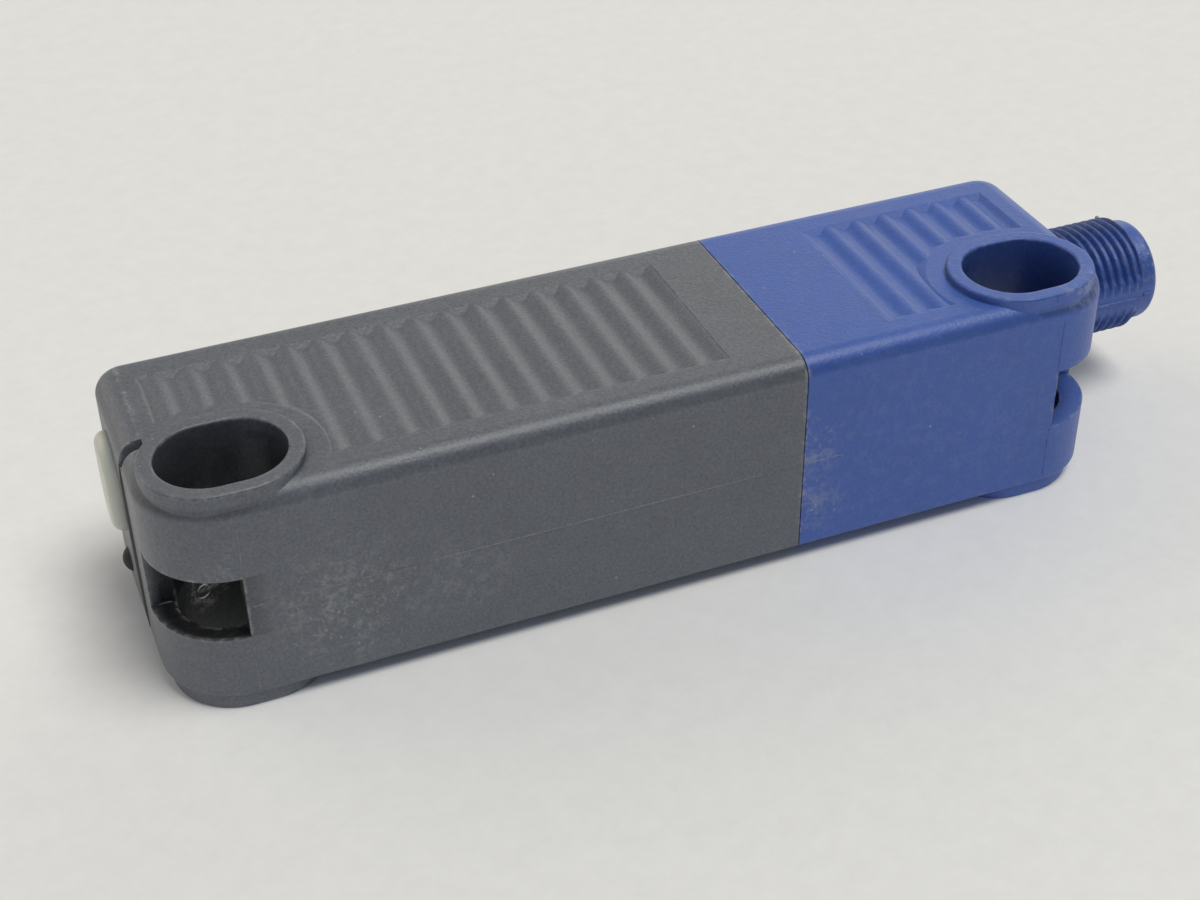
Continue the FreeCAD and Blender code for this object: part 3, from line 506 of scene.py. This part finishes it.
def material(name):
    """Finish that was made before."""
    found = bpy.data.materials.get(name)
    if found is None:
        raise RuntimeError(f"the finish {name} is made before the pieces that use it")
    return found


def new_piece(name, bm, finish):
    """Turns a bmesh into a smooth piece that rides on the body, with its finish."""
    bmesh.ops.recalc_face_normals(bm, faces=bm.faces)
    mesh = bpy.data.meshes.new(name)
    bm.to_mesh(mesh)
    bm.free()
    for polygon in mesh.polygons:
        polygon.use_smooth = True
    return link_piece(name, mesh, finish)


def link_piece(name, mesh, finish):
    """Puts a mesh into the scene as a piece that rides on the body, with its finish."""
    piece = bpy.data.objects.new(name, mesh)
    bpy.context.scene.collection.objects.link(piece)
    mesh.materials.append(finish)
    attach(piece, ROOT)
    return piece


def dress_node(node, finish):
    """Gives a CAD node that stays in view its finish."""
    mesh = frame["nodes"][node].data
    mesh.materials.clear()
    mesh.materials.append(finish)


def lean_field_end(mesh, end_x, lean):
    """Slopes the upright end of a grip field by drawing its wall out towards the top."""
    slack = 0.02 * MM
    low = top_z - field_depth
    normals = [corner.vector.copy() for corner in mesh.corner_normals]
    wall = set()
    for vert in mesh.vertices:
        if abs(vert.co.x - end_x) < slack and low - slack < vert.co.z < top_z + slack:
            vert.co.x += lean * (vert.co.z - low) / field_depth
            wall.add(vert.index)
    if not wall:
        raise RuntimeError("the grip field has no end wall at the place given for it")
    mesh.update()
    for polygon in mesh.polygons:
        if wall.issuperset(polygon.vertices):
            for corner in polygon.loop_indices:
                normals[corner] = polygon.normal.copy()
    mesh.normals_split_custom_set(normals)


def join_rings(bm, rings, closed=False):
    """Faces between neighbouring rings of vertices, and between the last and the first if closed."""
    after = rings[1:] + rings[:1] if closed else rings[1:]
    for a, b in zip(rings, after):
        for k in range(len(a)):
            bm.faces.new((a[k - 1], a[k], b[k], b[k - 1]))


# Form of a bead: shares of its length with the share of its full section there, and how far its sides lie
# below the wall, as a share of its height
bead_tapers = [(0.0, 0.3), (0.1, 0.8), (0.3, 1.0), (0.7, 1.0), (0.9, 0.8), (1.0, 0.3)]
bead_sink = 0.1
bead_arc_steps = 6


def add_bead(bm, start, end, outward, width, height):
    """Low half-round bead on a wall from start to end, sunk a little into it, thinner at both ends."""
    start, end, outward = Vector(start), Vector(end), Vector(outward)
    across = (end - start).cross(outward).normalized()
    rings = []
    for share, taper in bead_tapers:
        middle = start.lerp(end, share)
        reach = width / 2 * taper
        ring = []
        for k in range(bead_arc_steps + 1):
            turn = math.pi * k / bead_arc_steps
            rise = math.sin(turn) * height * taper - bead_sink * height
            ring.append(bm.verts.new(middle + across * (math.cos(turn) * reach) + outward * rise))
        for side in (-1, 1):
            ring.append(bm.verts.new(middle + across * (side * reach) - outward * height))
        rings.append(ring)
    join_rings(bm, rings)
    bm.faces.new(rings[0])
    bm.faces.new(reversed(rings[-1]))


def beads(name, lines, outward, width, height, slot, finish):
    """One piece of several beads on the same wall."""
    bm = bmesh.new()
    for start, end in lines:
        add_bead(bm, start, end, outward, width, height)
    return new_piece(name, bm, finish)


# Place of the moulding gate, on the round end wall of the left slot below the notch
gate_height = 5.6 * MM
gate_turn = math.radians(112)
gate_out = Vector((-math.cos(gate_turn), -math.sin(gate_turn), 0))
gate_place = Vector((-slot_end_x, 0, gate_height)) - gate_out * slot_radius

# Patches of dust, painted glow and painted sheen: centre, radius and how far it covers the skin
dark_dust_and_glow = [
    # Round the gate: partly dust, partly a painted glow of the light that falls in through the notch
    (gate_place, 3.0 * MM, 0.6),
    (on_front(-30.8, 8.5), 10.0 * MM, 0.22),
    (on_front(-20.0, 8.5), 6.0 * MM, 0.12),
    (on_front(-41.5, 15.0), 3.0 * MM, 0.15),
]
blue_dust_and_sheen = [
    # Faint patch over the blue front: a painted sheen that lightens it as gloss would
    (on_front(27.0, 8.0), 20.0 * MM, 0.03),
    (on_front(14.0, 13.0), 4.5 * MM, 0.22),
    (on_front(14.0, 6.5), 5.0 * MM, 0.18),
    (mm(43.0, -5.0, 23.0), 4.0 * MM, 0.25),
    (mm(60.5, 8.0, 14.5), 4.0 * MM, 0.2),
]


class SWITCH_OT_finishes(bpy.types.Operator):
    """Makes the materials that the pieces share"""
    bl_idname = "switch.finishes"
    bl_label = "Finishes"

    def execute(self, context):
        charcoal, blue, dust = Vector(colours().charcoal), Vector(colours().blue), Vector(colours().dust)
        dark_fleck, blue_fleck = 0.2, 0.09
        # How far rubbed plastic nears the colour of dust, how far stress whitens a tone, and how far a
        # painted shadow line darkens one
        dark_rub, blue_rub = 0.27, 0.4
        whitening, shadow_line_darkening = 1.45, 0.78
        moulded_pbt("moulded_pbt_charcoal", charcoal, dark_fleck, edge_wear_and_highlight=0.45, shaded_hollow_level=0.09,
                    patches=dark_dust_and_glow, notch_shade=0.9)
        moulded_pbt("moulded_pbt_charcoal_rubbed", charcoal.lerp(dust, dark_rub), dark_fleck)
        moulded_pbt("moulded_pbt_charcoal_whitened", dust * whitening, dark_fleck)
        moulded_pbt("moulded_pbt_blue", blue, blue_fleck, edge_wear_and_highlight=0.32, shaded_hollow_level=0.42, patches=blue_dust_and_sheen)
        moulded_pbt("moulded_pbt_blue_threaded", blue, blue_fleck, edge_wear_and_highlight=0.14, shaded_hollow_level=0.8)
        moulded_pbt("moulded_pbt_blue_rubbed", blue.lerp(dust, blue_rub), blue_fleck)
        # Darker blue for the collar's witness line: a painted shadow line, as of a fine groove
        moulded_pbt("moulded_pbt_blue_burnished", blue * shadow_line_darkening, blue_fleck)
        diffusing_polycarbonate()
        for row in inner_finishes:
            inner_finish(*row[1:])
        return {"FINISHED"}


class SWITCH_OT_sensor_housing(bpy.types.Operator):
    """Dark housing with softened edges, pale where rubbed and where a highlight is painted, and a sloped
    end to its grip field
    """
    bl_idname = "switch.sensor_housing"
    bl_label = "Sensor housing"

    def execute(self, context):
        mesh = frame["nodes"]["sensor_housing"].data.copy()
        mesh.materials.clear()
        lean_field_end(mesh, sensor_field_end, -sizes().field_lean)
        piece = link_piece("dark_housing", mesh, material("moulded_pbt_charcoal"))
        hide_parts("sensor_housing")
        return {"FINISHED"}


class SWITCH_OT_connector_housing(bpy.types.Operator):
    """Blue housing with softened edges, pale where rubbed and where a highlight is painted, a sloped field
    end and its spigot turned down
    """
    bl_idname = "switch.connector_housing"
    bl_label = "Connector housing"

    def execute(self, context):
        mesh = frame["nodes"]["connector_housing"].data.copy()
        mesh.materials.clear()
        self.turn_down_spigot(mesh)
        lean_field_end(mesh, connector_field_end, sizes().field_lean)
        piece = link_piece("blue_housing", mesh, material("moulded_pbt_blue"))
        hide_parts("connector_housing")
        return {"FINISHED"}

    def turn_down_spigot(self, mesh):
        """Draws the plain crest of the spigot in to the core, under the thread."""
        below_root = 0.07 * MM
        slack = 0.01 * MM
        core = spigot_radius - sizes().thread_depth - below_root
        for vert in mesh.vertices:
            across = Vector((0, vert.co.y - axis_y, vert.co.z - axis_z))
            if thread_start - slack < vert.co.x < thread_end + slack and across.length > core:
                vert.co = Vector((vert.co.x, axis_y, axis_z)) + across.normalized() * core


# Section of the thread: shares of half a pitch that its root and a flank take
root_share = 0.42
flank_share = 0.52

# Plain strip each side of the mould's parting and the stretch where the thread grows from it, in radians
parting_strip = 0.16
parting_fade = 0.3

# Rise of the thread per length at its two ends, and how far those ends and its inside lie below the root
runout_slope = 1.3
runout_sink = 0.1 * MM
inside_sink = 0.4 * MM


def clamped(value):
    """The value, held between 0 and 1."""
    return min(max(value, 0.0), 1.0)


class SWITCH_OT_spigot_thread(bpy.types.Operator):
    """Moulded thread of the plug spigot, run out towards the mould's parting"""
    bl_idname = "switch.spigot_thread"
    bl_label = "Spigot thread"

    around: IntProperty(name="Steps around", description="Mesh steps round the spigot", default=200, min=24)
    per_pitch: IntProperty(name="Steps per pitch", description="Mesh steps along one pitch", default=20,
                           min=8)

    def radius(self, x, turn):
        """Radius of the threaded surface at a place along the spigot and an angle round it."""
        depth, flat = sizes().thread_depth, sizes().thread_flat
        root = spigot_radius - depth
        phase = (x / sizes().thread_pitch - turn / (2 * math.pi)) % 1.0
        from_root = abs(phase - 0.5) * 2
        flank = clamped((from_root - root_share) / flank_share)
        rise = (flank + flank * flank * (3 - 2 * flank)) / 2
        from_parting = abs(math.remainder(turn, math.pi))
        groove = clamped((from_parting - parting_strip) / parting_fade)
        sideways = abs(math.cos(turn))
        crest = flat / sideways if sideways * spigot_radius > flat else spigot_radius
        lowest = root - runout_sink
        runout = lowest + runout_slope * min(x - thread_start, thread_end - x)
        return max(min(crest - depth * (1 - rise) * groove, runout), lowest)

    def execute(self, context):
        sharp_angle = math.radians(60)
        columns = int((thread_end - thread_start) / sizes().thread_pitch * self.per_pitch)
        places = [thread_start + (thread_end - thread_start) * i / columns for i in range(columns + 1)]
        turns = [2 * math.pi * k / self.around for k in range(self.around)]
        inner = spigot_radius - sizes().thread_depth - inside_sink
        bm = bmesh.new()
        rings = []
        for x, buried in [(x, False) for x in places] + [(thread_end, True), (thread_start, True)]:
            ring = []
            for turn in turns:
                r = inner if buried else self.radius(x, turn)
                ring.append(bm.verts.new((x, axis_y + r * math.cos(turn), axis_z + r * math.sin(turn))))
            rings.append(ring)
        join_rings(bm, rings, closed=True)
        piece = new_piece("spigot_thread", bm, material("moulded_pbt_blue_threaded"))
        piece.data.set_sharp_from_angle(angle=sharp_angle)
        return {"FINISHED"}


class SWITCH_OT_end_fittings(bpy.types.Operator):
    """End cap and milky window on the left end"""
    bl_idname = "switch.end_fittings"
    bl_label = "End fittings"

    def execute(self, context):
        dress_node("end_cap", material("moulded_pbt_charcoal"))
        dress_node("indicator_lens", material("diffusing_polycarbonate"))
        return {"FINISHED"}


# Where the mould left its marks and where the cap's joint is painted dark, in mm: spans along X of level
# beads, and the X and the spans along Z of upright ones
dark_parting_spans = [(-39.3, -38.2), (-35.0, -33.7), (-33.0, -30.6), (-29.9, -27.7), (-27.1, 13.0)]
blue_parting_spans = [(13.3, 15.4), (15.7, 17.2)]
dark_ear_x = -39.65
dark_ear_spans = [(20.3, 14.5), (8.1, 5.7), (5.2, 3.7), (3.1, 1.9)]
blue_ear_x = 40.3
blue_ear_spans = [(20.2, 14.6), (8.0, 1.9)]
notch_edge_x = 40.42
notch_edge_spans = [(14.3, 11.6), (10.9, 8.3)]
collar_line_x = 39.3
collar_line_span = (22.4, 23.1)
joint_nib_x = 13.26
joint_nib_half = 0.3
joint_nib_heights = [15.7, 14.4, 12.4, 9.4, 8.0, 6.5, 3.5]
spigot_nib_span = (59.0, 59.4)
# Heights of the dark bead that paints the shadow in the cap's joint
joint_shadow_span = (20.6, 2.2)

# Other marks, in metres: how far the collar stands back, a weld line on its top, an edge in the notch, and
# the way out of the spigot at its nib
collar_setback = 0.3 * MM
collar_weld = [((-33.49 * MM, -1.49 * MM, collar_z), (-32.31 * MM, -1.99 * MM, collar_z))]
notch_corner = [(mm(-46.3, 0.85, 8.2), mm(-45.0, 0.85, 8.2))]
spigot_nib_out = Vector((0, 0.614, 0.789))

# Section of the gate's ring: distance from its middle and rise, in shares of its radius
gate_profile = [(1.2, -0.15), (1.12, 0.02), (1.0, 0.07), (0.86, 0.03), (0.76, -0.15)]
gate_steps = 28


def level_line(x_from, x_to):
    """Ends of a level line along the parting of the front wall."""
    return (x_from * MM, front_y, axis_z), (x_to * MM, front_y, axis_z)


def upright_line(x, z_from, z_to, y=front_y):
    """Ends of an upright line on the front wall, or at another depth."""
    return (x * MM, y, z_from * MM), (x * MM, y, z_to * MM)


class SWITCH_OT_mould_marks(bpy.types.Operator):
    """Parting beads, witness lines, flash, a dark bead of painted shadow in the cap's joint, and the gate
    mark
    """
    bl_idname = "switch.mould_marks"
    bl_label = "Mould marks"

    def execute(self, context):
        self.housing_marks()
        self.spigot_marks()
        self.joint_shadow_bead()
        self.gate_mark()
        return {"FINISHED"}

    def housing_marks(self):
        """Beads on the parting, witness lines on ears and collars, flash at the notch and the joint; the
        collar's line is darkened as a painted shadow line.
        """
        dark = "dark_moulding", material("moulded_pbt_charcoal_rubbed")
        blue = "blue_moulding", material("moulded_pbt_blue_rubbed")
        plain = "blue_moulding", material("moulded_pbt_blue_threaded")
        # Darker finish for the collar's witness line: a painted shadow line
        line = "blue_moulding", material("moulded_pbt_blue_burnished")
        width, height = sizes().bead_width, sizes().bead_height
        narrow, wide = 0.7 * width, 1.3 * width
        weld_width, weld_height = 0.8 * width, 0.5 * height

        dark_parting = [level_line(*span) for span in dark_parting_spans]
        beads("parting_bead_dark", dark_parting, FRONT, width, height, *dark)
        blue_parting = [level_line(*span) for span in blue_parting_spans]
        beads("parting_bead_blue", blue_parting, FRONT, width, height, *blue)
        dark_ear = [upright_line(dark_ear_x, *span) for span in dark_ear_spans]
        beads("ear_witness_dark", dark_ear, FRONT, width, height, *dark)
        blue_ear = [upright_line(blue_ear_x, *span) for span in blue_ear_spans]
        beads("ear_witness_blue", blue_ear, FRONT, narrow, height, *plain)
        notch_edge = [upright_line(notch_edge_x, *span) for span in notch_edge_spans]
        beads("notch_flash_blue", notch_edge, FRONT, width, height, *blue)
        collar_line = [upright_line(collar_line_x, *collar_line_span, front_y + collar_setback)]
        beads("collar_witness_blue", collar_line, FRONT, narrow, height, *line)
        beads("collar_weld_dark", collar_weld, UP, weld_width, weld_height, *dark)
        beads("notch_corner_dark", notch_corner, FRONT, width, height, *dark)
        nib_spans = [(z - joint_nib_half, z + joint_nib_half) for z in joint_nib_heights]
        nibs = [upright_line(joint_nib_x, *span) for span in nib_spans]
        beads("joint_flash_blue", nibs, FRONT, wide, height, *blue)

    def spigot_marks(self):
        """Flash along both sides of the spigot, and a nib at the end of the thread."""
        plain = "blue_moulding", material("moulded_pbt_blue_threaded")
        width, height = sizes().flash_width, sizes().flash_height
        nose_end = cad_box[1].x - nose_round
        for side, label in ((-1, "front"), (1, "back")):
            y = axis_y + side * sizes().thread_flat
            y_nose = axis_y + side * nose_radius
            ends = [((thread_start, y, axis_z), (thread_end, y, axis_z)),
                    ((thread_end, y_nose, axis_z), (nose_end, y_nose, axis_z))]
            beads("spigot_flash_" + label, ends, (0, side, 0), width, height, *plain)
        rim = Vector((0, axis_y, axis_z)) + spigot_nib_out * spigot_radius
        nib = [rim + Vector((x * MM, 0, 0)) for x in spigot_nib_span]
        beads("spigot_nib", [nib], spigot_nib_out, sizes().nib_width, sizes().nib_height, "blue_moulding",
              material("moulded_pbt_blue_rubbed"))

    def joint_shadow_bead(self):
        """Dark bead in the upright joint between the end cap and the ear, in the filling resin's finish: a
        painted shadow of the joint's gap.
        """
        width = sizes().joint_shadow_width
        joint_y = cap_low.y - width / 2
        joint_line = [tuple((cap_low.x, joint_y, z * MM) for z in joint_shadow_span)]
        beads("cap_joint_resin", joint_line, LEFT, width, sizes().joint_shadow_height, "filling_resin",
              material("cast_polyurethane"))

    def gate_mark(self):
        """Low ring of stress-whitened plastic, as a cut gate leaves it."""
        aside = gate_out.cross(Vector(UP))
        bm = bmesh.new()
        rings = []
        for share, rise in gate_profile:
            ring = []
            for k in range(gate_steps):
                turn = 2 * math.pi * k / gate_steps
                reach = aside * math.cos(turn) + Vector(UP) * math.sin(turn)
                from_middle = (reach * share + gate_out * rise) * sizes().gate_radius
                ring.append(bm.verts.new(gate_place + from_middle))
            rings.append(ring)
        join_rings(bm, rings, closed=True)
        new_piece("gate_mark", bm, material("moulded_pbt_charcoal_whitened"))


class SWITCH_OT_inner_parts(bpy.types.Operator):
    """Finishes of the filler plug, the plug insert and the parts sealed inside"""
    bl_idname = "switch.inner_parts"
    bl_label = "Inner parts"

    def execute(self, context):
        finishes = {row[0]: row[1] for row in inner_finishes}
        slots = {part["node"]: part["material_slot"] for part in frame["record"]["subparts"]}
        dressed = {"sensor_housing", "connector_housing", "end_cap", "indicator_lens"}
        for node in sorted(set(frame["nodes"]) - dressed):
            slot = slots.get(node)
            if slot not in finishes:
                raise RuntimeError(f"{node} has no finish for its slot {slot}")
            dress_node(node, material(finishes[slot]))
        return {"FINISHED"}


class SWITCH_OT_stage(bpy.types.Operator):
    """Pale floor, soft room light and the camera"""
    bl_idname = "switch.stage"
    bl_label = "Stage"

    def execute(self, context):
        self.make_floor(context.scene)
        self.make_room(context.scene)
        self.make_overhead(context.scene)
        self.make_camera(context.scene)
        context.scene.view_settings.view_transform = "Standard"
        return {"FINISHED"}

    def make_floor(self, scene):
        """Matt pale board with a very faint unevenness."""
        half = scene.switch_stage.floor_size / 2
        corners = [(-half, -half, 0), (half, -half, 0), (half, half, 0), (-half, half, 0)]
        mesh = bpy.data.meshes.new("floor")
        mesh.from_pydata(corners, [], [(0, 1, 2, 3)])
        floor = bpy.data.objects.new("floor", mesh)
        scene.collection.objects.link(floor)
        finish, tree, place = new_material("matt_board")
        cloud = add_node(tree, "ShaderNodeTexNoise", {
            "Vector": place, "Scale": per_mm(3.0), "Detail": 6.0, "Roughness": 0.8})
        level = add_node(tree, "ShaderNodeMapRange", {
            "Value": cloud.outputs["Fac"], "To Min": 0.92, "To Max": 1.08})
        tone = add_node(tree, "ShaderNodeVectorMath", {
            0: tuple(colours().floor), "Scale": level.outputs[0]}, operation="SCALE")
        shader = add_node(tree, "ShaderNodeBsdfPrincipled", {
            "Base Color": tone.outputs[0], "Roughness": 0.8})
        mesh.materials.append(close_material(finish, tree, shader))

    def make_room(self, scene):
        """Dim light from all round, cooler from the viewer's side, with the bright surfaces of the room."""
        stage = scene.switch_stage
        world = bpy.data.worlds.new("soft_room")
        scene.world = world
        world.use_nodes = True
        tree = world.node_tree
        tree.nodes.clear()
        way = add_node(tree, "ShaderNodeTexCoord").outputs["Generated"]
        parts = add_node(tree, "ShaderNodeSeparateXYZ", {"Vector": way})
        behind = add_node(tree, "ShaderNodeMapRange", {
            "Value": parts.outputs["Y"], "From Min": -0.5, "From Max": 0.5},
            interpolation_type="SMOOTHSTEP")
        light = add_node(tree, "ShaderNodeMix", {
            0: behind.outputs[0], 6: tuple(stage.front_light), 7: tuple(stage.back_light)},
            data_type="RGBA").outputs[2]
        for axis, full, faded, tint, strength in room_lights:
            facing = add_node(tree, "ShaderNodeVectorMath", {0: way, 1: Vector(axis).normalized()},
                              operation="DOT_PRODUCT")
            amount = add_node(tree, "ShaderNodeMapRange", {
                "Value": facing.outputs["Value"], "From Min": math.cos(math.radians(faded)),
                "From Max": math.cos(math.radians(full)), "To Max": strength},
                interpolation_type="SMOOTHSTEP")
            light = add_node(tree, "ShaderNodeVectorMath", {
                0: amount.outputs[0], 1: linear(tint), 2: light}, operation="MULTIPLY_ADD").outputs[0]
        glow = add_node(tree, "ShaderNodeBackground", {"Color": light, "Strength": 1.0})
        add_node(tree, "ShaderNodeOutputWorld", {"Surface": glow.outputs[0]})

    def make_overhead(self, scene):
        """Wide soft light overhead, a little to the right and to the front."""
        stage = scene.switch_stage
        data = bpy.data.lights.new("overhead_light", "SUN")
        data.energy = stage.overhead_strength
        data.color = stage.overhead_tint
        data.angle = stage.overhead_spread
        lamp = bpy.data.objects.new("overhead_light", data)
        lamp.rotation_euler = Vector(stage.overhead_way).to_track_quat("Z", "Y").to_euler()
        scene.collection.objects.link(lamp)

    def make_camera(self, scene):
        """Camera at the viewing angle of the photograph."""
        stage = scene.switch_stage
        data = bpy.data.cameras.new("camera")
        data.sensor_width = 36.0
        data.lens = stage.camera_lens
        data.clip_start = 5 * MM
        data.clip_end = 20.0
        camera = bpy.data.objects.new("camera", data)
        turn = Matrix.Rotation(stage.camera_azimuth, 4, "Z")
        tilt = Matrix.Rotation(math.pi / 2 - stage.camera_elevation, 4, "X")
        roll = Matrix.Rotation(stage.camera_roll, 4, "Z")
        camera.matrix_world = Matrix.Translation(stage.camera_place) @ turn @ tilt @ roll
        scene.collection.objects.link(camera)
        scene.camera = camera


operators = [
    SWITCH_OT_finishes,
    SWITCH_OT_sensor_housing,
    SWITCH_OT_connector_housing,
    SWITCH_OT_spigot_thread,
    SWITCH_OT_end_fittings,
    SWITCH_OT_mould_marks,
    SWITCH_OT_inner_parts,
    SWITCH_OT_stage,
]


class SWITCH_PT_panel(bpy.types.Panel):
    """Lists the steps that dress the switch"""
    bl_idname = "SWITCH_PT_panel"
    bl_label = "Safety switch"
    bl_space_type = "VIEW_3D"
    bl_region_type = "UI"
    bl_category = "Safety switch"

    def draw(self, context):
        for operator in operators:
            self.layout.operator(operator.bl_idname)


groups = {"switch_sizes": SwitchSizes, "switch_colours": SwitchColours, "switch_stage": StageSettings}


def register():
    for cls in [*groups.values(), *operators, SWITCH_PT_panel]:
        bpy.utils.register_class(cls)
    for name, group in groups.items():
        setattr(bpy.types.Scene, name, PointerProperty(type=group))


def unregister():
    for name in groups:
        delattr(bpy.types.Scene, name)
    for cls in [SWITCH_PT_panel, *reversed(operators), *groups.values()]:
        bpy.utils.unregister_class(cls)


def main():
    register()
    bpy.ops.switch.finishes()
    bpy.ops.switch.sensor_housing()
    bpy.ops.switch.connector_housing()
    bpy.ops.switch.spigot_thread()
    bpy.ops.switch.end_fittings()
    bpy.ops.switch.mould_marks()
    bpy.ops.switch.inner_parts()
    bpy.ops.switch.stage()


if __name__ == "__main__":
    main()
